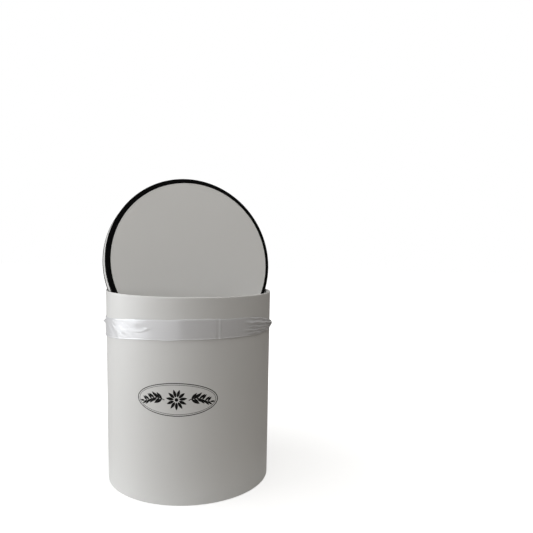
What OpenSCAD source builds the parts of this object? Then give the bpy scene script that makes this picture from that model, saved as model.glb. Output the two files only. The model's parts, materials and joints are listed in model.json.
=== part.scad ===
// Round flower box with a lift-off lid and a ribbon carry handle.
// The box stands on z = 0 with its axis on Z. The front is -Y, the ribbon holes are on +X and -X.
// The lid stands upright in the mouth, wedged across the widest chord of the rim.

/* [Box] */
// Outer diameter of the covered box
box_d = 220; // [180:1:300]
// Height of the box from the table to the rim
box_h = 256; // [200:1:360]
// Thickness of the rolled board in the wall
wall_board_t = 1.2; // [1:0.1:2]
// Thickness of the base board
base_board_t = 2; // [1:0.1:4]
// Thickness of the covering paper and of the lining paper
paper_t = 0.2; // [0.2:0.05:0.4]
// How far the covering paper is turned in below the rim
turn_in = 15; // [8:1:30]
// How far the covering paper is turned in under the base
turn_under = 12; // [6:1:20]
// Width of the glued lap where the covering paper meets itself at the back
lap_w = 12; // [6:1:20]

/* [Lid] */
// Outer height of the lid
lid_h = 28; // [20:1:45]
// Thickness of the board in the lid
lid_board_t = 1.5; // [1:0.1:2]
// Radial gap between the closed lid and the box
lid_gap = 0.35; // [0.2:0.05:1]
// Width of the upper edging tape on the face
trim_face_w = 5.5; // [4:0.5:10]
// Width of the upper edging tape on the rim
trim_side_w = 6.5; // [4:0.5:10]
// Width of the lower edging tape on each side of the open edge
trim_low_w = 5; // [4:0.5:10]
// Thickness of the edging tape
trim_t = 0.2; // [0.2:0.05:0.4]

/* [Standing lid] */
// Turn of the lid's face to the right of the front
lid_yaw = 24; // [-30:0.5:30]
// Lean of the lid backwards from upright
lid_lean = 9.5; // [0:0.1:15]
// Distance the lid stands back from the seat where both its faces touch the rim
lid_back = 3; // [0:0.5:6]
// Gap between the wedged lid and the lining
seat_gap = 0.2; // [0.1:0.05:1]

/* [Ribbon] */
// Width of the ribbon
ribbon_w = 25; // [15:1:30]
// Thickness of the ribbon as it lies
ribbon_t = 0.6; // [0.4:0.1:1]
// Distance from the rim down to the middle of the ribbon
ribbon_drop = 39.5; // [30:0.5:60]
// Distance from the middle of the ribbon down to its holes
hole_drop = 3.5; // [0:0.5:4]
// Gap between the ribbon and the wall
ribbon_gap = 0.35; // [0.2:0.05:1]
// Angle from the front to each end of the swinging stretch
band_half_angle = 55; // [40:1:60]
// Diameter of the ribbon hole
hole_d = 8; // [6:0.5:12]
// Diameter of the gathered ribbon where it passes through the hole
neck_d = 6.4; // [4:0.1:8]
// Diameter of the stopper knot inside the wall
knot_d = 17; // [14:0.5:22]
// Length of the ribbon tail below the knot
tail_l = 34; // [15:1:60]
// Width of the folded ribbon tail
tail_w = 18; // [10:1:25]

/* [Hidden] */
$fn = 180;
eps = 0.01;

// Radii and levels of the box wall, from the outside in
wrap_r = box_d / 2;
core_r = wrap_r - paper_t;
core_in_r = core_r - wall_board_t;
turned_r = core_in_r - paper_t;
liner_r = turned_r - paper_t;
core_bottom_z = 2 * paper_t;
core_round_z = box_h - paper_t - wall_board_t / 2;
board_top_z = core_bottom_z + base_board_t;

// Radii of the lid, from the inside out, in the lid's own frame with its open edge at z = 0
lid_in_r = wrap_r + lid_gap;
lid_core_in_r = lid_in_r + paper_t;
lid_core_r = lid_core_in_r + lid_board_t;
lid_wrap_r = lid_core_r + paper_t;
lid_trim_r = lid_wrap_r + trim_t;
lid_top_z = lid_h - trim_t;
lid_board_top_z = lid_top_z - paper_t;
lid_board_z = lid_board_top_z - lid_board_t;

// The wedged lid leans back in the mouth. Its place is given from the middle of the rim: lid_out along the
// lid's own axis, and lid_rise up its leaning middle plane, where its back corners just clear the lining.
seat_r = liner_r - seat_gap;
lid_out = sqrt(pow(lid_trim_r, 2) + pow(lid_h / 2, 2) - pow(seat_r, 2)) * sin(lid_lean) - lid_back;
lid_rise = max(seat_rise(lid_out - lid_h / 2), seat_rise(lid_out + lid_h / 2));

// How far the lid's middle is up its leaning plane when the face at this place on its axis meets the rim
function seat_rise(face) =
    sqrt(pow(lid_trim_r, 2) + pow(face / cos(lid_lean), 2) - pow(seat_r, 2)) - face * tan(lid_lean);

// The ribbon lies round the front, a gap away from the wall
band_in_r = wrap_r + ribbon_gap;
band_r = band_in_r + ribbon_t;
ribbon_z = box_h - ribbon_drop;
hole_z = ribbon_z - hole_drop;
end_gap_angle = 0.5;
end_start_y = band_r * cos(band_half_angle + end_gap_angle);
neck_out = band_in_r + ribbon_t;
knot_gap = 0.3;
knot_x = liner_r - knot_gap - knot_d / 2;
tail_t = 1.2;

// A ring with its axis on Z
module ring(outer_r, inner_r, bottom_z, top_z) {
    rotate_extrude()
        translate([inner_r, bottom_z]) square([outer_r - inner_r, top_z - bottom_z]);
}

// A disc with its axis on Z
module disc(r, bottom_z, t) {
    translate([0, 0, bottom_z]) cylinder(r = r, h = t);
}

// The hole that the ribbon passes through, on both sides of the wall
module ribbon_holes() {
    translate([0, 0, hole_z]) rotate([0, 90, 0])
        cylinder(d = hole_d, h = 2 * wrap_r + 2, center = true);
}

// Profile of a wall with a rounded top edge
module round_top_profile(inner_r, outer_r, bottom_z, round_z) {
    translate([inner_r, bottom_z]) square([outer_r - inner_r, round_z - bottom_z]);
    translate([(inner_r + outer_r) / 2, round_z]) circle(d = outer_r - inner_r);
}

// Half of space on one side: +1 keeps the right, -1 keeps the left
module side_half(side) {
    size = 3 * box_d;
    translate([side * size / 2, 0, 0]) cube([size, size, size], center = true);
}

module base_paper() {
    color("white") disc(wrap_r - 2, 0, paper_t);
}

module base_board() {
    color("tan") disc(core_in_r - eps, core_bottom_z, base_board_t);
}

module base_liner() {
    color("white") disc(turned_r - eps, board_top_z, paper_t);
}

module wall_core() {
    color("tan") difference() {
        rotate_extrude() round_top_profile(core_in_r, core_r, core_bottom_z, core_round_z);
        ribbon_holes();
    }
}

// Covering paper: up the outside, over the rim, down inside, and turned in under the base
module wall_wrap() {
    lap_angle = lap_w / wrap_r * 180 / PI;
    color("white") difference() {
        union() {
            rotate_extrude() difference() {
                union() {
                    round_top_profile(turned_r, wrap_r, paper_t, core_round_z);
                    translate([wrap_r - turn_under, paper_t]) square([turn_under, paper_t]);
                }
                round_top_profile(core_in_r, core_r, core_bottom_z, core_round_z);
                translate([turned_r - 1, core_bottom_z])
                    square([core_in_r - turned_r + 1, box_h - turn_in - core_bottom_z]);
            }
            rotate([0, 0, 90]) rotate_extrude(angle = lap_angle)
                translate([wrap_r - eps, core_bottom_z])
                    square([paper_t / 2, core_round_z - core_bottom_z]);
        }
        ribbon_holes();
    }
}

// Lining paper inside the wall, glued over the turned-in edge and stopping short of the rim
module wall_liner() {
    top_z = box_h - 3;
    color("white") difference() {
        union() {
            ring(core_in_r, turned_r - eps, board_top_z + paper_t, box_h - turn_in);
            ring(turned_r, liner_r, board_top_z + paper_t, top_z);
        }
        ribbon_holes();
    }
}

// The stretch of ribbon from the band to the hole, narrowing into the gathered neck
module ribbon_end(side) {
    neck_in = knot_x;
    color("ghostwhite") intersection() {
        difference() {
            union() {
                intersection() {
                    ring(band_r, band_in_r, ribbon_z - ribbon_w / 2, ribbon_z + ribbon_w / 2);
                    rotate([90, 0, 90]) translate([0, 0, -2 * wrap_r]) linear_extrude(4 * wrap_r)
                        polygon([[-end_start_y, ribbon_z - ribbon_w / 2],
                                 [-end_start_y, ribbon_z + ribbon_w / 2],
                                 [neck_d / 2, hole_z + neck_d / 2],
                                 [neck_d / 2, hole_z - neck_d / 2]]);
                }
                translate([side * neck_in, 0, hole_z]) rotate([0, side * 90, 0])
                    cylinder(d = neck_d, h = neck_out - neck_in);
            }
            translate([side * knot_x, 0, hole_z]) sphere(d = knot_d + 2 * eps);
        }
        side_half(side);
    }
}

module ribbon_knot(side) {
    color("ghostwhite") translate([side * knot_x, 0, hole_z]) sphere(d = knot_d);
}

module ribbon_tail(side) {
    color("ghostwhite") difference() {
        translate([side * knot_x - tail_t / 2, -tail_w / 2, hole_z - knot_d / 2 - tail_l])
            cube([tail_t, tail_w, tail_l + knot_d / 2]);
        translate([side * knot_x, 0, hole_z]) sphere(d = knot_d + 2 * eps);
    }
}

module ribbon_end_left() { ribbon_end(-1); }
module ribbon_end_right() { ribbon_end(1); }
module ribbon_knot_left() { ribbon_knot(-1); }
module ribbon_knot_right() { ribbon_knot(1); }
module ribbon_tail_left() { ribbon_tail(-1); }
module ribbon_tail_right() { ribbon_tail(1); }

// The swinging stretch of the ribbon, round the front of the box
module ribbon_band() {
    color("ghostwhite") rotate([0, 0, -90 - band_half_angle])
        rotate_extrude(angle = 2 * band_half_angle)
            translate([band_in_r, ribbon_z - ribbon_w / 2]) square([ribbon_t, ribbon_w]);
}

// Puts a piece of the closed lid, open edge down at z = 0, where the lid stands in the mouth
module standing() {
    translate([0, 0, box_h]) rotate([0, 0, lid_yaw]) rotate([90 - lid_lean, 0, 0])
        translate([0, lid_rise, lid_out - lid_h / 2]) children();
}

module lid_board() {
    color("tan") standing() disc(lid_core_r, lid_board_z, lid_board_t);
}

module lid_rim_core() {
    color("tan") standing() ring(lid_core_r, lid_core_in_r, trim_t, lid_board_z);
}

module lid_top_paper() {
    color("whitesmoke") standing() disc(lid_wrap_r, lid_board_top_z, paper_t);
}

module lid_rim_wrap() {
    color("white") standing() ring(lid_wrap_r, lid_core_r, trim_t, lid_board_top_z);
}

module lid_rim_liner() {
    color("white") standing() ring(lid_core_in_r, lid_in_r, trim_t + trim_low_w, lid_board_z);
}

module lid_disc_liner() {
    color("white") standing() disc(lid_in_r - eps, lid_board_z - paper_t, paper_t);
}

// Edging tape folded over the edge of the face
module lid_top_trim() {
    color("black") standing() rotate_extrude() {
        translate([lid_wrap_r, lid_h - trim_side_w]) square([trim_t, trim_side_w]);
        translate([lid_trim_r - trim_face_w, lid_top_z]) square([trim_face_w - trim_t + eps, trim_t]);
    }
}

// Edging tape folded over the open edge and up inside
module lid_bottom_trim() {
    color("black") standing() rotate_extrude() {
        translate([lid_wrap_r, 0]) square([trim_t, trim_low_w]);
        translate([lid_in_r, 0]) square([lid_wrap_r - lid_in_r + eps, trim_t]);
        translate([lid_in_r, 0]) square([paper_t, trim_low_w]);
    }
}

base_paper();
base_board();
base_liner();
wall_core();
wall_wrap();
wall_liner();
ribbon_end_left();
ribbon_end_right();
ribbon_knot_left();
ribbon_knot_right();
ribbon_tail_left();
ribbon_tail_right();
ribbon_band();
lid_board();
lid_rim_core();
lid_top_paper();
lid_rim_wrap();
lid_disc_liner();
lid_rim_liner();
lid_top_trim();
lid_bottom_trim();
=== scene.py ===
"""Round flower box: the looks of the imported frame, its soft studio and its camera.
Metres, +Z up, front at -Y."""
import json
import math

import bpy
import numpy as np
from mathutils import Matrix, Vector, noise

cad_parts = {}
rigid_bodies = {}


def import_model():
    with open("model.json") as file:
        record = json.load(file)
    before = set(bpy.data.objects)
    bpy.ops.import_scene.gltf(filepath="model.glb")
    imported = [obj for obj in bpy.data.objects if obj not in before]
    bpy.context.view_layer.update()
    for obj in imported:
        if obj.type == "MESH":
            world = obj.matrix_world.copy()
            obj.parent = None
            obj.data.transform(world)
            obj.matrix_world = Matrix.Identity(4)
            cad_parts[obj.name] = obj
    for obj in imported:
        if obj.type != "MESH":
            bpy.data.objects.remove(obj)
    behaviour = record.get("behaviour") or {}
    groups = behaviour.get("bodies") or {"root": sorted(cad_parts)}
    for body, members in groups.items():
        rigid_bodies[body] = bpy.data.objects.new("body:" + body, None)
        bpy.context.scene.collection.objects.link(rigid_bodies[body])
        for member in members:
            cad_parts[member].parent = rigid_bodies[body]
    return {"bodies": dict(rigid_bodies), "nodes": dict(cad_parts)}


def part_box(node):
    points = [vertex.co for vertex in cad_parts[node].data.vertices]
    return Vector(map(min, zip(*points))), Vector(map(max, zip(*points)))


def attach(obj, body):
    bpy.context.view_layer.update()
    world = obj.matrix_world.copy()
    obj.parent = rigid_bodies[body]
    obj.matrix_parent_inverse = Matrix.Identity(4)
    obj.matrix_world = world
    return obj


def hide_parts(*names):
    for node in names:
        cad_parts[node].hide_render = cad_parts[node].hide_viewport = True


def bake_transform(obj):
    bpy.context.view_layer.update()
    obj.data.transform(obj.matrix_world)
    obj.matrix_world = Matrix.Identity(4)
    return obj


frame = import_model()

# ---------------------------------------------------------------- clear what a new Blender file holds
for stray in list(bpy.data.objects):
    if stray.name not in frame["nodes"] and stray not in frame["bodies"].values():
        bpy.data.objects.remove(stray)
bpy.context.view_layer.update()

MM = 0.001
NODES = frame["nodes"]

# ---------------------------------------------------------------- sizes, read from the frame
WRAP_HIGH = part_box("wall_wrap")[1]
BAND_LOW, BAND_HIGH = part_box("ribbon_band")
KNOT_LOW, KNOT_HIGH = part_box("ribbon_knot_right")
TAIL_LOW, TAIL_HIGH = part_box("ribbon_tail_right")
BOX_R = WRAP_HIGH.x
BOX_H = WRAP_HIGH.z
BAND_R = -BAND_LOW.y
RIBBON_Z = (BAND_LOW.z + BAND_HIGH.z) / 2
RIBBON_W = BAND_HIGH.z - BAND_LOW.z
KNOT_X = (KNOT_LOW.x + KNOT_HIGH.x) / 2
KNOT_R = (KNOT_HIGH.z - KNOT_LOW.z) / 2
HOLE_Z = (KNOT_LOW.z + KNOT_HIGH.z) / 2
HOLE_DROP = (RIBBON_Z - HOLE_Z) / MM


def middle(node):
    low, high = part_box(node)
    return (low + high) / 2


# The standing lid's own frame: its open edge at 0 and its axis out of its face
LID_H = 28 * MM
TRIM_SIDE_W = 6.5 * MM
TRIM_LOW_W = 5 * MM
TAPE_T = 0.2 * MM
LID_WALL = 2.1 * MM
LID_AXIS = (middle("lid_top_trim") - middle("lid_bottom_trim")).normalized()
LID_ORIGIN = middle("lid_bottom_trim") - LID_AXIS * TRIM_LOW_W / 2
LID_LOW, LID_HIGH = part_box("lid_bottom_trim")
LID_R = ((LID_HIGH.z - LID_LOW.z - TRIM_LOW_W * LID_AXIS.z) / 2) / math.sqrt(1 - LID_AXIS.z ** 2)


def new_object(name, data):
    """A new object that stands in the scene."""
    item = bpy.data.objects.new(name, data)
    bpy.context.scene.collection.objects.link(item)
    return item


# ---------------------------------------------------------------- camera
# fitted to the edges and ellipses of the boxes in the photograph
FRAME_PX = 533
FOCAL_PX = 534.86
OPTICAL_AXIS_PX = (264.8, 306.4)
CAMERA_AZIMUTH = math.radians(8.0)
CAMERA_DISTANCE = 0.73684
CAMERA_HEIGHT = 0.3200
CAMERA_PAN = math.radians(0.05)
CAMERA_PITCH = math.radians(-6.70)
CAMERA_ROLL = math.radians(1.09)
SENSOR_MM = 36.0


def make_camera():
    """The camera stands a little to the right of the front and looks slightly down."""
    data = bpy.data.cameras.new("camera")
    data.sensor_width = SENSOR_MM
    data.lens = SENSOR_MM * FOCAL_PX / FRAME_PX
    data.shift_x = (FRAME_PX / 2 - OPTICAL_AXIS_PX[0]) / FRAME_PX
    data.shift_y = (OPTICAL_AXIS_PX[1] - FRAME_PX / 2) / FRAME_PX
    data.clip_start = 0.01
    camera = new_object("camera", data)
    ahead = Vector((math.sin(CAMERA_PAN), math.cos(CAMERA_PAN), 0))
    right = Vector((ahead.y, -ahead.x, 0))
    look = ahead * math.cos(CAMERA_PITCH) + Vector((0, 0, math.sin(CAMERA_PITCH)))
    up = right.cross(look)
    side = right * math.cos(CAMERA_ROLL) + up * math.sin(CAMERA_ROLL)
    top = up * math.cos(CAMERA_ROLL) - right * math.sin(CAMERA_ROLL)
    place = Vector((math.sin(CAMERA_AZIMUTH) * CAMERA_DISTANCE,
                    -math.cos(CAMERA_AZIMUTH) * CAMERA_DISTANCE, CAMERA_HEIGHT))
    turn = Matrix((side, top, -look)).transposed().to_4x4()
    camera.matrix_world = Matrix.Translation(place) @ turn
    bpy.context.scene.camera = camera


make_camera()
bpy.context.scene.view_settings.view_transform = "Standard"


# ---------------------------------------------------------------- material helpers
# the range that most of a noise texture's values lie in
NOISE_LOW, NOISE_HIGH = 0.3, 0.7


class Graph:
    """A short way to build a node material around one Principled shader."""

    def __init__(self, name, **values):
        self.material = bpy.data.materials.new(name)
        self.material.use_nodes = True
        self.nodes = self.material.node_tree.nodes
        self.links = self.material.node_tree.links
        self.shader = self.nodes["Principled BSDF"]
        for socket, value in values.items():
            self.shader.inputs[socket.replace("_", " ")].default_value = value
        self.coords = self.add("ShaderNodeTexCoord")

    def add(self, kind, **settings):
        node = self.nodes.new(kind)
        for key, value in settings.items():
            setattr(node, key, value)
        return node

    def link(self, out, into):
        self.links.new(out, into)

    def stretch(self, source, scale):
        """Texture coordinates scaled by (x, y, z)."""
        node = self.add("ShaderNodeMapping")
        node.inputs["Scale"].default_value = scale
        self.link(source, node.inputs["Vector"])
        return node.outputs["Vector"]

    def noise(self, vector, scale, detail=4.0, rough=0.5):
        node = self.add("ShaderNodeTexNoise")
        node.inputs["Scale"].default_value = scale
        node.inputs["Detail"].default_value = detail
        node.inputs["Roughness"].default_value = rough
        self.link(vector, node.inputs["Vector"])
        return node.outputs["Fac"]

    def map_range(self, value, low, high):
        """A noise value spread between two limits."""
        node = self.add("ShaderNodeMapRange")
        node.inputs["From Min"].default_value = NOISE_LOW
        node.inputs["From Max"].default_value = NOISE_HIGH
        node.inputs["To Min"].default_value = low
        node.inputs["To Max"].default_value = high
        self.link(value, node.inputs["Value"])
        return node.outputs["Result"]

    def step_up(self, vector, low, high):
        """0 below one height and 1 above another."""
        split = self.add("ShaderNodeSeparateXYZ")
        self.link(vector, split.inputs[0])
        node = self.add("ShaderNodeMapRange", interpolation_type="SMOOTHSTEP")
        node.inputs["From Min"].default_value = low
        node.inputs["From Max"].default_value = high
        self.link(split.outputs["Z"], node.inputs["Value"])
        return node.outputs["Result"]

    def mix(self, factor, colour_a, colour_b):
        node = self.add("ShaderNodeMix", data_type="RGBA")
        node.inputs[6].default_value = (*colour_a, 1)
        node.inputs[7].default_value = (*colour_b, 1)
        self.link(factor, node.inputs[0])
        return node.outputs[2]

    def bump(self, *layers):
        """Stacks (height, strength, distance) layers onto the shader's normal."""
        normal = None
        for height, strength, distance in layers:
            node = self.add("ShaderNodeBump")
            node.inputs["Strength"].default_value = strength
            node.inputs["Distance"].default_value = distance
            self.link(height, node.inputs["Height"])
            if normal is not None:
                self.link(normal, node.inputs["Normal"])
            normal = node.outputs["Normal"]
        self.link(normal, self.shader.inputs["Normal"])

    def colour(self, out):
        self.link(out, self.shader.inputs["Base Color"])

    def roughness(self, out):
        self.link(out, self.shader.inputs["Roughness"])


def pearl_paper(name, tone_colour, rim=False):
    """Pearl white coated covering paper: a soft sheen, a fine grain and slow waves over the rolled board."""
    g = Graph(name, Metallic=0.0, IOR=1.5, Coat_Weight=0.25, Coat_Roughness=0.42, Sheen_Weight=0.08)
    obj = g.coords.outputs["Object"]
    tone = g.noise(obj, 9.0, 3.0)
    base = np.array(tone_colour)
    g.colour(g.mix(g.map_range(tone, 0.0, 1.0), tuple(base * 0.985), tuple(base * 1.01)))
    grain = g.noise(obj, 2600.0, 3.0, 0.7)
    flecks = g.noise(obj, 700.0, 2.0, 0.5)
    g.roughness(g.map_range(flecks, 0.40, 0.52))
    waves = g.noise(g.stretch(obj, (1.0, 1.0, 0.35)), 22.0, 2.0, 0.4)
    layers = [(waves, 0.10, 0.0012), (flecks, 0.05, 0.0002), (grain, 0.10, 0.00006)]
    if rim:
        layers.append((g.step_up(obj, BOX_H - 2.2 * MM, BOX_H - 0.9 * MM), 0.5, -0.0003))
    g.bump(*layers)
    return g.material


def lining_paper():
    """Plain matte lining paper."""
    g = Graph("lining_paper", IOR=1.45, Sheen_Weight=0.05)
    obj = g.coords.outputs["Object"]
    g.colour(g.mix(g.map_range(g.noise(obj, 30.0, 4.0), 0.0, 1.0), (0.74, 0.735, 0.72), (0.79, 0.785, 0.775)))
    fibres = g.noise(g.stretch(obj, (1.0, 1.0, 3.0)), 900.0, 4.0, 0.7)
    g.roughness(g.map_range(fibres, 0.66, 0.82))
    g.bump((g.noise(obj, 25.0, 2.0), 0.12, 0.001), (fibres, 0.18, 0.0001))
    return g.material


def grey_board():
    """Recycled grey board with brown and grey fibres."""
    g = Graph("grey_board", IOR=1.45)
    obj = g.coords.outputs["Object"]
    fibres = g.noise(g.stretch(obj, (1.0, 1.0, 2.2)), 1300.0, 6.0, 0.75)
    g.colour(g.mix(g.map_range(fibres, 0.0, 1.0), (0.30, 0.26, 0.20), (0.50, 0.45, 0.37)))
    g.roughness(g.map_range(fibres, 0.8, 0.95))
    g.bump((fibres, 0.35, 0.00015))
    return g.material


def black_tape():
    """Black edging tape: fine woven ribs, a dull sheen and small pulls where it is folded over the edge."""
    g = Graph("black_tape", IOR=1.4, Specular_IOR_Level=0.1)
    obj = g.coords.outputs["Object"]
    tone = g.noise(obj, 160.0, 3.0)
    g.colour(g.mix(g.map_range(tone, 0.0, 1.0), (0.0015, 0.0015, 0.0017), (0.004, 0.004, 0.0045)))
    g.roughness(g.map_range(g.noise(obj, 500.0, 3.0), 0.45, 0.62))
    ribs = g.noise(obj, 1800.0, 2.0, 0.6)
    g.bump((g.noise(obj, 140.0, 2.0), 0.25, 0.0004), (ribs, 0.2, 0.00008))
    return g.material


def satin():
    """White satin ribbon: threads along its length, so its sheen spreads up and down but not sideways."""
    g = Graph("satin", Metallic=0.2, IOR=1.75, Specular_IOR_Level=0.9, Anisotropic=0.75,
              Anisotropic_Rotation=0.25, Sheen_Weight=0.06, Sheen_Roughness=0.4)
    tangent = g.add("ShaderNodeTangent", direction_type="UV_MAP", uv_map="UVMap")
    g.link(tangent.outputs["Tangent"], g.shader.inputs["Tangent"])
    uv = g.coords.outputs["UV"]
    threads = g.noise(g.stretch(uv, (3.0, 420.0, 1.0)), 1.0, 3.0, 0.7)
    cross = g.noise(g.stretch(uv, (1400.0, 60.0, 1.0)), 1.0, 2.0, 0.6)
    g.colour(g.mix(g.map_range(threads, 0.0, 1.0), (0.75, 0.752, 0.775), (0.82, 0.822, 0.845)))
    g.roughness(g.map_range(threads, 0.41, 0.48))
    g.bump((threads, 0.10, 0.00006), (cross, 0.05, 0.00004))
    return g.material


def ink():
    """Matt black print with the paper's grain showing in it."""
    g = Graph("ink", IOR=1.4, Specular_IOR_Level=0.2)
    obj = g.coords.outputs["Object"]
    speckle = g.noise(obj, 1500.0, 3.0, 0.6)
    g.colour(g.mix(g.map_range(speckle, 0.0, 1.0), (0.003, 0.003, 0.003), (0.010, 0.010, 0.010)))
    g.roughness(g.map_range(speckle, 0.42, 0.6))
    g.bump((speckle, 0.15, 0.00005))
    return g.material


PEARL_TONE = (0.76, 0.755, 0.745)
PEARL = pearl_paper("pearl_paper", PEARL_TONE)
WALL_PAPER = pearl_paper("wall_paper", PEARL_TONE, rim=True)
# painted light: the lid's paper is the wall's pearl paper made lighter, standing in for the extra light that
# falls on the lid's upward-tilted face
LID_PAPER_PAINTED_LIGHTER = pearl_paper("lid_paper_painted_light", (0.89, 0.887, 0.875))
LINING = lining_paper()
BOARD = grey_board()
TAPE = black_tape()
SATIN = satin()
INK = ink()

for node_name, material in {
    "base_paper": PEARL, "wall_wrap": WALL_PAPER, "lid_top_paper": LID_PAPER_PAINTED_LIGHTER, "lid_rim_wrap": PEARL,
    "base_liner": LINING, "wall_liner": LINING, "lid_disc_liner": LINING, "lid_rim_liner": LINING,
    "base_board": BOARD, "wall_core": BOARD, "lid_board": BOARD, "lid_rim_core": BOARD,
}.items():
    for material_slot in NODES[node_name].material_slots:
        material_slot.material = material


# ---------------------------------------------------------------- mesh helpers
def new_piece(name, points, faces, material, body, smooth=True, uvs=None):
    """A mesh object that rides on a body."""
    mesh = bpy.data.meshes.new(name)
    mesh.from_pydata([tuple(p) for p in points], [], faces)
    mesh.validate()
    piece = new_object(name, mesh)
    mesh.materials.append(material)
    for polygon in mesh.polygons:
        polygon.use_smooth = smooth
    if uvs is not None:
        layer = mesh.uv_layers.new(name="UVMap")
        for loop in mesh.loops:
            layer.data[loop.index].uv = uvs[loop.vertex_index]
    if body is not None:
        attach(piece, body)
    return piece


def smoothstep(low, high, value):
    t = np.clip((value - low) / (high - low), 0.0, 1.0)
    return t * t * (3.0 - 2.0 * t)


def bell(value, centre, width):
    """A bump of height 1 at the centre."""
    return np.exp(-((value - centre) / width) ** 2)


# ---------------------------------------------------------------- the ribbon
RIBBON_THICK = 0.28 * MM
RIBBON_STEPS = 900
RIBBON_ACROSS = 72
# a quarter turn from the front is where each hole is
HOLE_TURN = math.radians(90.0)
NECK_HALF = 3.0 * MM
# the last degrees before a hole are where the ribbon turns in
TURN_FROM = 87.0
TURN_R = math.radians(90 - TURN_FROM) * BOX_R
RIBBON_HALF = RIBBON_W / 2 - 0.25 * MM
# the ribbon's thickness in the frame
BAND_T = 0.6 * MM
# about one degree round the wall, in mm
DEGREE_MM = 1.92
# in mm: how far the left end sags and how far the right side lies above the middle
SAG = 7.0
RIGHT_RISE = 1.5
# long folds at the right: place across the ribbon, first degree, height in mm, width
RIGHT_FOLDS = ((0.92, 45.0, 0.90, 0.11), (0.43, 44.0, 1.70, 0.15), (-0.06, 46.5, 1.35, 0.11),
               (-0.43, 43.0, 1.10, 0.11), (-0.78, 45.0, 0.85, 0.10))
# short folds that fan out from the left hole: direction and width in degrees, height in mm
FAN_FOLDS = ((-34, 9.0, 0.30), (-58, 8.0, 0.20), (-12, 7.0, 0.35), (14, 9.0, 0.16))


def ridge(value, centre, width, sharp=1.0):
    """A rounded fold, steeper on the low side when sharp is above 1."""
    t = (value - centre) / width
    return np.exp(-np.where(t < 0, t * sharp, t) ** 2)


def two_sided(value, below, above):
    """A bump of height 1 at 0, with one width below it and another above."""
    return np.exp(-np.where(value < 0, value / below, value / above) ** 2)


def crumple(u, v, seed):
    """Soft random height between about -1 and 1 for matching arrays of places."""
    flat = [noise.noise(Vector((a, b, seed))) for a, b in zip(u.ravel(), v.ravel())]
    return np.array(flat).reshape(u.shape)


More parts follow.
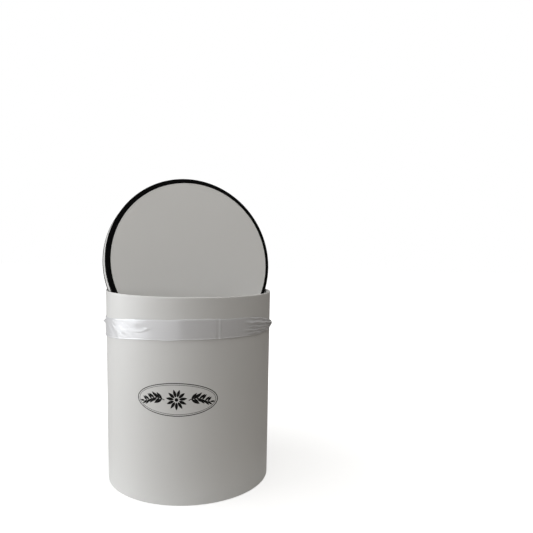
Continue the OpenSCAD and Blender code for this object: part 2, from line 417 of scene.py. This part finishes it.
def ribbon_surface(angle, across):
    """A point of the ribbon's middle surface. angle is 0 at the front and a quarter turn at each hole;
    across is -1 at the lower edge and 1 at the upper edge. Works on whole arrays."""
    deg = np.degrees(angle)
    left = -deg
    # the strip sags towards the left end, where it gathers late; on the right it first lies a little
    # higher, then gathers earlier
    at_left_hole = smoothstep(79, 89.5, left)
    drop = np.where(deg < 0, SAG * smoothstep(10, 74, left) * (1 - at_left_hole) + HOLE_DROP * at_left_hole,
                    HOLE_DROP * smoothstep(52, 84, deg))
    drop = drop - RIGHT_RISE * smoothstep(-6, 7, deg) * (1 - smoothstep(46, 62, deg))
    close_left = smoothstep(79, 90, left) ** 1.3
    close_right = np.clip((deg - 46) / 44, 0, 1) ** 1.5
    close = np.maximum(close_left, close_right)
    half = RIBBON_HALF * (1 - close) + NECK_HALF * close
    # the upper edge runs a little lower before the folds begin
    dip = 0.6 * (1 + across) * smoothstep(20, 34, deg) * (1 - smoothstep(50, 62, deg))
    z = RIBBON_Z - (drop + dip) * MM + across * half
    # height over the hole, for the folds that run together there
    over_hole = (z - HOLE_Z) / MM
    crown = 1 - across ** 2
    # how far it stands off the wall, in mm: laid flat in front, loose at the ends
    off = 0.22 + 0.15 * crown
    # right end: long folds that run into the hole, each with its own place across, start, height and width
    for centre, start, height, width in RIGHT_FOLDS:
        rise = smoothstep(start, start + 8, deg) * (1 + 0.5 * smoothstep(62, 84, deg))
        off = off + rise * height * ridge(across - 0.05 * np.sin(deg * 0.5 + centre * 9), centre, width, 1.3)
    # left end: a soft drape with short fan folds beside the hole
    fan = np.degrees(np.arctan2(over_hole, np.maximum((90 - left) * DEGREE_MM, 0.5)))
    reach_l = smoothstep(60, 76, left) * (1 - smoothstep(86, 90, left))
    off = off + reach_l * sum(height * ridge(fan, toward, width) for toward, width, height in FAN_FOLDS)
    off = off + 4.3 * bell(left, 82.5, 4.2) * bell(over_hole, -0.2, 2.4)
    # a crease where it turns towards the hole, and slanting crinkles above it
    crease = left - (44.0 + 2.0 * across)
    low_side = 1 - smoothstep(-0.25, 0.45, across)
    off = off + (0.50 + 0.35 * low_side) * two_sided(crease, 5.5, 3.2)
    slant = across - 0.42 + 0.084 * (50 - left)
    crinkled = bell(left, 50.0, 3.2)
    off = off + crinkled * (0.30 * bell(slant, 0.26, 0.16) + 0.34 * bell(slant, -0.20, 0.17))
    # the flat middle: a J-shaped pucker with a small dimple in its hook, and a soft upright ridge above it
    hook = np.maximum(deg + 25.0, 0) / 8.5
    pucker = across + 0.21 - 0.34 * hook ** 2
    off = off + 0.32 * bell(deg, -23.0, 6.0) * two_sided(pucker, 0.08, 0.26)
    off = off + 0.30 * bell(deg, -19.5, 1.7) * bell(across, 0.06, 0.11)
    upright = deg + 25.5 + 1.5 * across
    off = off + 1.25 * smoothstep(-0.1, 0.7, across) * two_sided(upright, 3.0, 7.0)
    off = off + 0.22 * bell(deg, -38.0, 3.5) * bell(across, -0.15, 0.35)
    off = off - 0.12 * bell(deg, -31.0, 1.6) * bell(across, 0.10, 0.08)
    # a pressed fold across the strip: a line pressed in, one standing up and a step down
    off = off - (0.24 - 0.18 * across) * smoothstep(24.4, 25.4, deg) + 0.34 * smoothstep(26.0, 27.2, deg)
    off = off - 0.34 * smoothstep(27.6, 28.6, deg)
    off = off + 0.12 * (smoothstep(40.0, 41.0, deg) - smoothstep(44.0, 46.0, deg))
    # small crumples where it is gathered, and faint unevenness along its whole length
    along = deg * DEGREE_MM
    width = across * half / MM
    loose = np.maximum(smoothstep(20, 40, left) * (1 - smoothstep(84, 89, left)),
                       0.8 * smoothstep(46, 60, deg) * (1 - smoothstep(84, 89, deg)))
    bias = width + 0.22 * along
    off = off + loose * (0.20 * crumple(along / 12.0, bias / 5.5, 3.1)
                         + 0.13 * crumple(along / 5.0, bias / 2.6, 8.7))
    off = off + 0.05 * np.sin(deg * 0.61 + across * 1.7) * crown + 0.06 * np.sin(deg * 0.23 + 0.8)
    # the woven edges tip upwards and catch the light: the lower one stands off, the upper one lies down
    off = off + 0.42 * smoothstep(0.90, 1.0, -across) - 0.32 * smoothstep(0.86, 1.0, across)
    # beside the holes it bunches up into a pleated half tube
    bunch = smoothstep(84.0, 88.0, np.abs(deg))
    tube = 2.7 * np.sqrt(np.clip(1 - across ** 2, 0, 1)) + 0.28 * np.cos(across * 15.0 + 0.7) * crown
    off = off * (1 - bunch) + (0.2 + tube) * bunch
    return off * MM, z


def make_ribbon():
    """One satin strip round the front: a sheet of its own thickness from hole to hole."""
    s = np.linspace(-1.0, 1.0, RIBBON_STEPS + 1)
    t = np.linspace(-1.0, 1.0, RIBBON_ACROSS + 1)
    S, T = np.meshgrid(s, t, indexing="ij")
    angle = S * HOLE_TURN
    off, z = ribbon_surface(angle, T)
    # the last few degrees turn in through the hole on a small quarter circle
    phi = np.clip((np.abs(np.degrees(angle)) - TURN_FROM) / (90 - TURN_FROM), 0, 1) * math.pi / 2
    r = BAND_R - BAND_T + off * np.cos(phi) - TURN_R * (1 - np.cos(phi))
    laid = np.minimum(np.abs(angle), math.radians(TURN_FROM))
    place = np.sign(angle) * (laid + (TURN_R * np.sin(phi) + off * np.sin(phi)) / BOX_R)
    x = r * np.sin(place)
    y = -r * np.cos(place)
    points = np.stack([x, y, z], -1).reshape(-1, 3)
    rows, cols = RIBBON_STEPS + 1, RIBBON_ACROSS + 1
    faces = [(i * cols + j, (i + 1) * cols + j, (i + 1) * cols + j + 1, i * cols + j + 1)
             for i in range(rows - 1) for j in range(cols - 1)]
    length = math.pi * BOX_R
    uvs = [(a * length / 2 * 10, b * RIBBON_W * 10) for a in s for b in t]
    piece = new_piece("ribbon", points, faces, SATIN, None, uvs=uvs)
    thicken(piece)
    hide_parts("ribbon_band", "ribbon_end_left", "ribbon_end_right")
    return piece


def thicken(piece):
    """Gives a flat piece the ribbon's thickness, as part of its mesh."""
    solid = piece.modifiers.new("thickness", "SOLIDIFY")
    solid.thickness = RIBBON_THICK
    solid.offset = 0
    bpy.context.view_layer.update()
    depsgraph = bpy.context.evaluated_depsgraph_get()
    mesh = bpy.data.meshes.new_from_object(piece.evaluated_get(depsgraph))
    piece.modifiers.clear()
    piece.data = mesh


ribbon = make_ribbon()
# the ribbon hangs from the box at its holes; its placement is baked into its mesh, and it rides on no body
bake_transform(ribbon)


# ---------------------------------------------------------------- knots, necks and tails of the ribbon
KNOT_STRAND_R = 3.0 * MM
KNOT_STEPS = 160
NECK_STEPS = 30
TAIL_ROWS, TAIL_COLS = 64, 36


def tube_along(path, radius, sides, closed, pleats=0, pleat_depth=0.0, twist=0.0):
    """Points and faces of a tube round a path, with lengthwise pleats like gathered satin."""
    path = np.array(path)
    count = len(path)
    ahead = np.roll(path, -1, 0) - np.roll(path, 1, 0)
    if not closed:
        ahead[0], ahead[-1] = path[1] - path[0], path[-1] - path[-2]
    ahead /= np.linalg.norm(ahead, axis=1)[:, None]
    side = np.cross(ahead[0], (0.31, 0.22, 0.93))
    points, uvs = [], []
    run = 0.0
    for i in range(count):
        run += np.linalg.norm(path[i] - path[i - 1]) if i else 0.0
        side = side - ahead[i] * (side @ ahead[i])
        side /= np.linalg.norm(side)
        other = np.cross(ahead[i], side)
        for j in range(sides):
            turn = 2 * math.pi * j / sides
            swell = 1 + pleat_depth * math.cos(pleats * turn + twist * i / count)
            r = radius[i] * swell if hasattr(radius, "__len__") else radius * swell
            points.append(path[i] + r * (math.cos(turn) * side + math.sin(turn) * other))
            uvs.append((run * 10, j / sides * RIBBON_W * 10))
    rows = count if closed else count - 1
    faces = [(i * sides + j, i * sides + (j + 1) % sides,
              (i + 1) % count * sides + (j + 1) % sides, (i + 1) % count * sides + j)
             for i in range(rows) for j in range(sides)]
    if not closed:
        faces.append(tuple(range(sides))[::-1])
        faces.append(tuple((count - 1) * sides + j for j in range(sides)))
    return points, faces, uvs


def make_knot(side, name, node):
    """A tight overhand knot that stops the ribbon inside the wall."""
    unit = (KNOT_R - KNOT_STRAND_R) / 3.0
    centre = np.array((side * KNOT_X, 0, HOLE_Z))
    path = []
    for k in range(KNOT_STEPS):
        t = 2 * math.pi * k / KNOT_STEPS
        path.append(centre + unit * np.array((-math.sin(3 * t) * 1.3 * side,
                                              math.sin(t) + 2 * math.sin(2 * t),
                                              math.cos(t) - 2 * math.cos(2 * t))))
    points, faces, uvs = tube_along(path, KNOT_STRAND_R, 40, True, pleats=7, pleat_depth=0.11, twist=9.0)
    knot = new_piece(name, points, faces, SATIN, "box", uvs=uvs)
    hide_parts(node)


def make_neck(side, name):
    """The gathered ribbon inside its hole, from the wall's outside to the knot."""
    start = side * (BOX_R - 1.6 * MM)
    end = side * (KNOT_X + 0.5 * KNOT_R)
    path = [(start + (end - start) * k / NECK_STEPS, 0, HOLE_Z) for k in range(NECK_STEPS + 1)]
    radius = [(1.2 + 1.6 * float(smoothstep(0, 5, k)) + 0.25 * math.sin(k * 0.5)) * MM
              for k in range(NECK_STEPS + 1)]
    points, faces, uvs = tube_along(path, radius, 56, False, pleats=9, pleat_depth=0.09, twist=1.5)
    new_piece(name, points, faces, SATIN, "box", uvs=uvs)


def make_tail(side, name, node):
    """The cut end of the ribbon, flaring out below its knot, with a slanting cut."""
    rows, cols = TAIL_ROWS, TAIL_COLS
    top = HOLE_Z - KNOT_R * 0.35
    length = top - TAIL_LOW.z
    half_w = (TAIL_HIGH.y - TAIL_LOW.y) / 2
    points, uvs = [], []
    for i in range(rows + 1):
        u = i / rows
        flare = 0.22 + 0.78 * float(smoothstep(0.0, 0.55, u))
        for j in range(cols + 1):
            v = 2 * j / cols - 1
            cut = 1 - 0.16 * max(0.0, v * side) * u
            fold = math.cos(v * 7.5 + 0.6) * (1 - 0.82 * u) * 1.3 * MM
            curl = 1.2 * MM * math.sin(u * 2.6) + 0.7 * MM * v * u
            points.append((side * (KNOT_X + 1.2 * MM) - side * (fold + curl),
                           v * half_w * flare, top - length * u * cut))
            uvs.append((u * length * 10, v * half_w * 10))
    faces = [(i * (cols + 1) + j, i * (cols + 1) + j + 1,
              (i + 1) * (cols + 1) + j + 1, (i + 1) * (cols + 1) + j)
             for i in range(rows) for j in range(cols)]
    tail = new_piece(name, points, faces, SATIN, None, uvs=uvs)
    thicken(tail)
    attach(tail, "box")
    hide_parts(node)


for hand, word in ((-1, "left"), (1, "right")):
    make_knot(hand, "ribbon_knot_" + word + "_look", "ribbon_knot_" + word)
    make_neck(hand, "ribbon_neck_" + word)
    make_tail(hand, "ribbon_tail_" + word + "_look", "ribbon_tail_" + word)


# ---------------------------------------------------------------- the lid's edging tape
def on_lid(r, turn, height):
    """A point in the lid's own frame, placed where the lid stands."""
    across = Vector((0, 0, 1)).cross(LID_AXIS).normalized()
    upward = LID_AXIS.cross(across)
    return LID_ORIGIN + LID_AXIS * height + (across * math.cos(turn) + upward * math.sin(turn)) * r


def arc(centre_r, centre_h, radius, start, end, steps):
    """Points of a rounded corner in a profile, as (radius, height)."""
    return [(centre_r + radius * math.cos(math.radians(start + (end - start) * k / steps)),
             centre_h + radius * math.sin(math.radians(start + (end - start) * k / steps)))
            for k in range(steps + 1)]


def sweep_tape(name, profile_at, node, segments=540):
    """Sweeps a closed profile, which may change with the angle, round the lid."""
    profiles = [profile_at(2 * math.pi * k / segments) for k in range(segments)]
    n = len(profiles[0])
    points = [on_lid(r, 2 * math.pi * k / segments, h) for k in range(segments) for r, h in profiles[k]]
    faces = [(k * n + j, k * n + (j + 1) % n,
              (k + 1) % segments * n + (j + 1) % n, (k + 1) % segments * n + j)
             for k in range(segments) for j in range(n)]
    tape = new_piece(name, points, faces, TAPE, "lid")
    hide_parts(node)
    return tape


def wander(turn, size, *seeds):
    """A slow hand-laid unevenness round the lid."""
    return size * sum(math.sin(turn * k + s) / k ** 0.5 for k, s in seeds) / len(seeds)


CORNER_R = 0.45 * MM
TAPE_FACE_W = 5.5 * MM
TAPE_OFF_CENTRE = 1.0 * MM
TAPE_WIDE_TURN = math.radians(175)
EDGE_WAVES = ((3, 0.4), (7, 2.2), (13, 4.1), (29, 1.3))


def top_tape_profile(turn):
    """Face leg and rim leg of the upper tape. It was laid a little off centre, wider on the left."""
    face_w = (TAPE_FACE_W + TAPE_OFF_CENTRE * math.cos(turn - TAPE_WIDE_TURN)
              + wander(turn, 0.2 * MM, *EDGE_WAVES))
    side_w = TRIM_SIDE_W + wander(turn + 1.0, 0.3 * MM, *EDGE_WAVES)
    pucker = 0.05 * MM * max(0.0, math.sin(turn * 97 + 2.0 * math.sin(turn * 11)))
    inner_r = LID_R - face_w
    base = LID_H - TAPE_T
    corner = arc(LID_R - CORNER_R, LID_H - CORNER_R, CORNER_R, 0, 90, 6)
    return ([(LID_R - TAPE_T, LID_H - side_w), (LID_R - 0.3 * TAPE_T, LID_H - side_w),
             (LID_R, LID_H - side_w + 0.15 * MM), (LID_R, LID_H - 2.5 * MM)] + corner +
            [(LID_R - 2.2 * MM, LID_H), (inner_r + 1.2 * MM, LID_H + pucker * 0.5),
             (inner_r + 0.15 * MM, LID_H + pucker), (inner_r, base + 0.1 * MM + pucker),
             (inner_r, base - 0.02 * MM), (LID_R - TAPE_T, base - 0.02 * MM)])


def low_tape_profile(turn):
    """The lower tape, folded round the open edge and up inside."""
    side_w = TRIM_LOW_W + wander(turn + 2.0, 0.25 * MM, *EDGE_WAVES)
    in_r = LID_R - LID_WALL - TAPE_T
    inner_w = TRIM_LOW_W + wander(turn + 4.0, 0.35 * MM, *EDGE_WAVES)
    return ([(LID_R - TAPE_T, side_w), (LID_R - 0.3 * TAPE_T, side_w), (LID_R, side_w - 0.15 * MM)] +
            arc(LID_R - CORNER_R, CORNER_R, CORNER_R, 0, -90, 6) +
            arc(in_r + CORNER_R, CORNER_R, CORNER_R, -90, -180, 6) +
            [(in_r, inner_w - 0.15 * MM), (in_r + 0.7 * TAPE_T, inner_w), (in_r + TAPE_T, inner_w),
             (in_r + TAPE_T, TAPE_T), (LID_R - TAPE_T, TAPE_T)])


sweep_tape("lid_upper_tape", top_tape_profile, "lid_top_trim")
sweep_tape("lid_lower_tape", low_tape_profile, "lid_bottom_trim")


# ---------------------------------------------------------------- the print on the front
PRINT_Z = BOX_H - 123 * MM
INK_RISE = 0.06 * MM
# each oval's half width, half height and line width
OVALS = ((50 * MM, 20.5 * MM, 0.95 * MM), (47.5 * MM, 18.2 * MM, 0.45 * MM))
PETALS = 11
PETAL_TURN = 8
PETAL_FROM, PETAL_LENGTH, PETAL_WIDTH = 3.3 * MM, 9.6 * MM, 4.3 * MM
EYE_R = 2.2 * MM
# a sprig's stem, as distances from the ornament's middle, and its leaves
SPRIG_FROM, SPRIG_TO = 14.5 * MM, 40.5 * MM
SPRIG_WAVE, SPRIG_DROP = 2.6 * MM, 0.6 * MM
SPRIG_STEPS, LEAF_EVERY = 24, 3
STEM_THICK, STEM_THIN = 0.95 * MM, 0.5 * MM
LEAF_LENGTH, LEAF_WIDTH = 10.5 * MM, 3.9 * MM
TIP_LENGTH, TIP_WIDTH = 6.0 * MM, 2.6 * MM


def on_wall(x, z, rise):
    """Wraps a flat (x, z) design round the wall."""
    turn = x / BOX_R
    r = BOX_R + rise
    return (r * math.sin(turn), -r * math.cos(turn), PRINT_Z + z)


class Print:
    """Collects flat ink shapes and lays them on the wall as one thin piece."""

    def __init__(self):
        self.points, self.faces = [], []

    def strip(self, lower, upper, closed=False):
        """A band of ink between two rows of matching points."""
        n = len(lower)
        start = len(self.points)
        for rise in (0.0, INK_RISE):
            for row in (lower, upper):
                self.points += [on_wall(x, z, rise) for x, z in row]
        back_low, back_up, face_low, face_up = (start + k * n for k in range(4))
        last = n if closed else n - 1
        for i in range(last):
            j = (i + 1) % n
            self.faces += [(face_low + i, face_low + j, face_up + j, face_up + i),
                           (back_low + i, back_up + i, back_up + j, back_low + j),
                           (back_low + i, back_low + j, face_low + j, face_low + i),
                           (back_up + i, face_up + i, face_up + j, back_up + j)]
        if not closed:
            e = n - 1
            self.faces += [(back_low, face_low, face_up, back_up),
                           (back_low + e, back_up + e, face_up + e, face_low + e)]

    def oval(self, half_w, half_h, line, steps=220):
        """An oval line."""
        turns = [2 * math.pi * k / steps for k in range(steps)]
        inner = [((half_w - line) * math.cos(t), (half_h - line) * math.sin(t)) for t in turns]
        outer = [(half_w * math.cos(t), half_h * math.sin(t)) for t in turns]
        self.strip(inner, outer, closed=True)

    def leaf(self, x, z, angle, length, width, bend=0.0, steps=14):
        """A pointed leaf that starts at (x, z) and grows along angle."""
        a = math.radians(angle)
        lower, upper = [], []
        for k in range(steps + 1):
            u = k / steps
            swell = width / 2 * math.sin(math.pi * min(1.0, u * 0.985 + 0.012)) ** 0.8 * (1 - 0.35 * u)
            mid = bend * length * u * (1 - u)
            for row, side in ((lower, -1), (upper, 1)):
                along, off = length * u, mid + side * swell
                row.append((x + along * math.cos(a) - off * math.sin(a),
                            z + along * math.sin(a) + off * math.cos(a)))
        self.strip(lower, upper)

    def stem(self, path, thick, thin):
        """A line along a path that gets thinner towards its end."""
        lower, upper = [], []
        n = len(path)
        for i, (x, z) in enumerate(path):
            bx, bz = path[max(0, i - 1)]
            cx, cz = path[min(n - 1, i + 1)]
            run = math.hypot(cx - bx, cz - bz)
            half = (thick + (thin - thick) * i / (n - 1)) / 2
            nx, nz = -(cz - bz) / run * half, (cx - bx) / run * half
            lower.append((x - nx, z - nz))
            upper.append((x + nx, z + nz))
        self.strip(lower, upper)

    def dot(self, x, z, radius, steps=20):
        """A round spot of ink."""
        turns = [math.pi * k / steps for k in range(steps + 1)]
        lower = [(x + radius * math.cos(t), z - radius * math.sin(t)) for t in turns]
        upper = [(x + radius * math.cos(t), z + radius * math.sin(t)) for t in turns]
        self.strip(lower, upper)


def make_print():
    """An oval frame round a daisy between two leafy sprigs: a plain florist's ornament."""
    p = Print()
    for half_w, half_h, line in OVALS:
        p.oval(half_w, half_h, line)
    for k in range(PETALS):
        a = 360 * k / PETALS + PETAL_TURN
        x, z = PETAL_FROM * math.cos(math.radians(a)), PETAL_FROM * math.sin(math.radians(a))
        p.leaf(x, z, a, PETAL_LENGTH, PETAL_WIDTH)
    p.dot(0, 0, EYE_R)
    for side in (-1, 1):
        path = [(side * (SPRIG_FROM + (SPRIG_TO - SPRIG_FROM) * k / SPRIG_STEPS),
                 SPRIG_WAVE * math.sin(math.pi * k / SPRIG_STEPS * 1.5) - SPRIG_DROP)
                for k in range(SPRIG_STEPS + 1)]
        p.stem(path, STEM_THICK, STEM_THIN)
        for k in range(LEAF_EVERY, SPRIG_STEPS, LEAF_EVERY):
            x, z = path[k]
            grow = 1 - 0.35 * k / SPRIG_STEPS
            way = 1 if k % 2 else -1
            for up in (1, -1):
                lean = 48 if up == way else 36
                angle = up * lean if side > 0 else 180 - up * lean
                p.leaf(x, z, angle, LEAF_LENGTH * grow, LEAF_WIDTH * grow, bend=0.10 * up * side)
        x, z = path[-1]
        p.leaf(x, z, 0 if side > 0 else 180, TIP_LENGTH, TIP_WIDTH)
    new_piece("front_print", p.points, p.faces, INK, "box", smooth=False)


make_print()


# ---------------------------------------------------------------- light, floor and backdrop
def area_light(name, place, aim, size, power, colour):
    """A softbox that faces a point. size is its width and height in metres, power is in watts."""
    data = bpy.data.lights.new(name, "AREA")
    data.shape = "RECTANGLE"
    data.size, data.size_y = size
    data.energy = power
    data.color = colour
    light = new_object(name, data)
    light.location = place
    light.rotation_euler = (aim - Vector(place)).to_track_quat("-Z", "Y").to_euler()


LIGHT_AIM = Vector((0, 0, BOX_H * 0.7))


def around(azimuth, distance, height):
    """A place round the box: azimuth 0 is the front and grows to the right."""
    a = math.radians(azimuth)
    return Vector((math.sin(a) * distance, -math.cos(a) * distance, height))


area_light("window", around(azimuth=-81, distance=1.9, height=0.45), LIGHT_AIM,
           size=(2.2, 1.5), power=34.5, colour=(0.955, 0.98, 1.0))
area_light("second_window", around(azimuth=-30, distance=2.3, height=0.50), LIGHT_AIM,
           size=(1.9, 1.2), power=11.0, colour=(0.985, 0.995, 1.0))
area_light("ceiling", (0.25, -0.2, 2.3), LIGHT_AIM,
           size=(1.8, 1.8), power=27.0, colour=(1.0, 0.99, 0.965))
SURROUND = (1.0, 0.955, 0.89)
SURROUND_STRENGTH = 0.143
WHITE = (1.0, 1.0, 1.0)
FLOOR_HALF = 6.0
# the floor's colour to the light far off, its painted pool of bounce light beside the box, and its colour to
# the camera
FLOOR_TO_LIGHT = (0.38, 0.36, 0.335)
PAINTED_BOUNCE_TO_LIGHT = (0.62, 0.615, 0.60)
# the painted pool of bounce light fades out between these distances from the box's axis, in metres
PAINTED_BOUNCE_START, PAINTED_BOUNCE_END = 0.13, 0.21
FLOOR_TO_CAMERA = (0.60, 0.60, 0.60)
# the camera also sees the floor glow, from this much near the box to full white farther off
FLOOR_GLOW = 0.60
FADE_START, FADE_END = 0.16, 0.60


def camera_pick(nodes, links, other_value, camera_value):
    """A colour that is one thing to the camera and another to every bounce of light."""
    path = nodes.new("ShaderNodeLightPath")
    pick = nodes.new("ShaderNodeMix")
    pick.data_type = "RGBA"
    pick.inputs[6].default_value = (*other_value, 1)
    pick.inputs[7].default_value = (*camera_value, 1)
    links.new(path.outputs["Is Camera Ray"], pick.inputs[0])
    return pick.outputs[2]


def make_world():
    """A dim warm surround that looks white to the camera."""
    world = bpy.data.worlds.new("surround")
    world.use_nodes = True
    nodes, links = world.node_tree.nodes, world.node_tree.links
    dim = tuple(c * SURROUND_STRENGTH for c in SURROUND)
    links.new(camera_pick(nodes, links, dim, WHITE), nodes["Background"].inputs["Color"])
    bpy.context.scene.world = world


def make_floor():
    """A pale floor. The camera sees it white with the box's soft shadow, fading into the white backdrop;
    to the light it is a dim mat with a painted pool of bounce light round the box, which brightens the foot
    of the wall."""
    mesh = bpy.data.meshes.new("floor")
    corners = [(x * FLOOR_HALF, y * FLOOR_HALF, 0) for x, y in ((-1, -1), (1, -1), (1, 1), (-1, 1))]
    mesh.from_pydata(corners, [], [(0, 1, 2, 3)])
    floor = new_object("floor", mesh)
    material = bpy.data.materials.new("floor")
    material.use_nodes = True
    nodes, links = material.node_tree.nodes, material.node_tree.links
    shader = nodes["Principled BSDF"]
    shader.inputs["Roughness"].default_value = 0.9
    shader.inputs["Specular IOR Level"].default_value = 0.1
    picked = camera_pick(nodes, links, FLOOR_TO_LIGHT, FLOOR_TO_CAMERA)
    links.new(picked, shader.inputs["Base Color"])
    glow = nodes.new("ShaderNodeEmission")
    links.new(camera_pick(nodes, links, (0, 0, 0), WHITE), glow.inputs["Color"])
    coords = nodes.new("ShaderNodeTexCoord")
    length = nodes.new("ShaderNodeVectorMath")
    length.operation = "LENGTH"
    links.new(coords.outputs["Object"], length.inputs[0])

    def by_distance(start, end, near, far):
        """A value that goes smoothly from near to far with the distance from the middle of the box."""
        fade = nodes.new("ShaderNodeMapRange")
        fade.interpolation_type = "SMOOTHSTEP"
        for name, value in (("From Min", start), ("From Max", end), ("To Min", near), ("To Max", far)):
            fade.inputs[name].default_value = value
        links.new(length.outputs["Value"], fade.inputs["Value"])
        return fade.outputs["Result"]

    links.new(by_distance(FADE_START, FADE_END, FLOOR_GLOW, 1.0), glow.inputs["Strength"])
    # painted light: round the box the floor's colour to the light is raised, a painted pool of bounce light
    # that brightens the foot of the wall
    painted_bounce = nodes.new("ShaderNodeMix")
    painted_bounce.data_type = "RGBA"
    painted_bounce.inputs[6].default_value = (*FLOOR_TO_LIGHT, 1)
    painted_bounce.inputs[7].default_value = (*PAINTED_BOUNCE_TO_LIGHT, 1)
    links.new(by_distance(PAINTED_BOUNCE_START, PAINTED_BOUNCE_END, 1.0, 0.0), painted_bounce.inputs[0])
    links.new(painted_bounce.outputs[2], picked.node.inputs[6])
    both = nodes.new("ShaderNodeAddShader")
    links.new(shader.outputs[0], both.inputs[0])
    links.new(glow.outputs[0], both.inputs[1])
    links.new(both.outputs[0], nodes["Material Output"].inputs["Surface"])
    mesh.materials.append(material)


make_world()
make_floor()
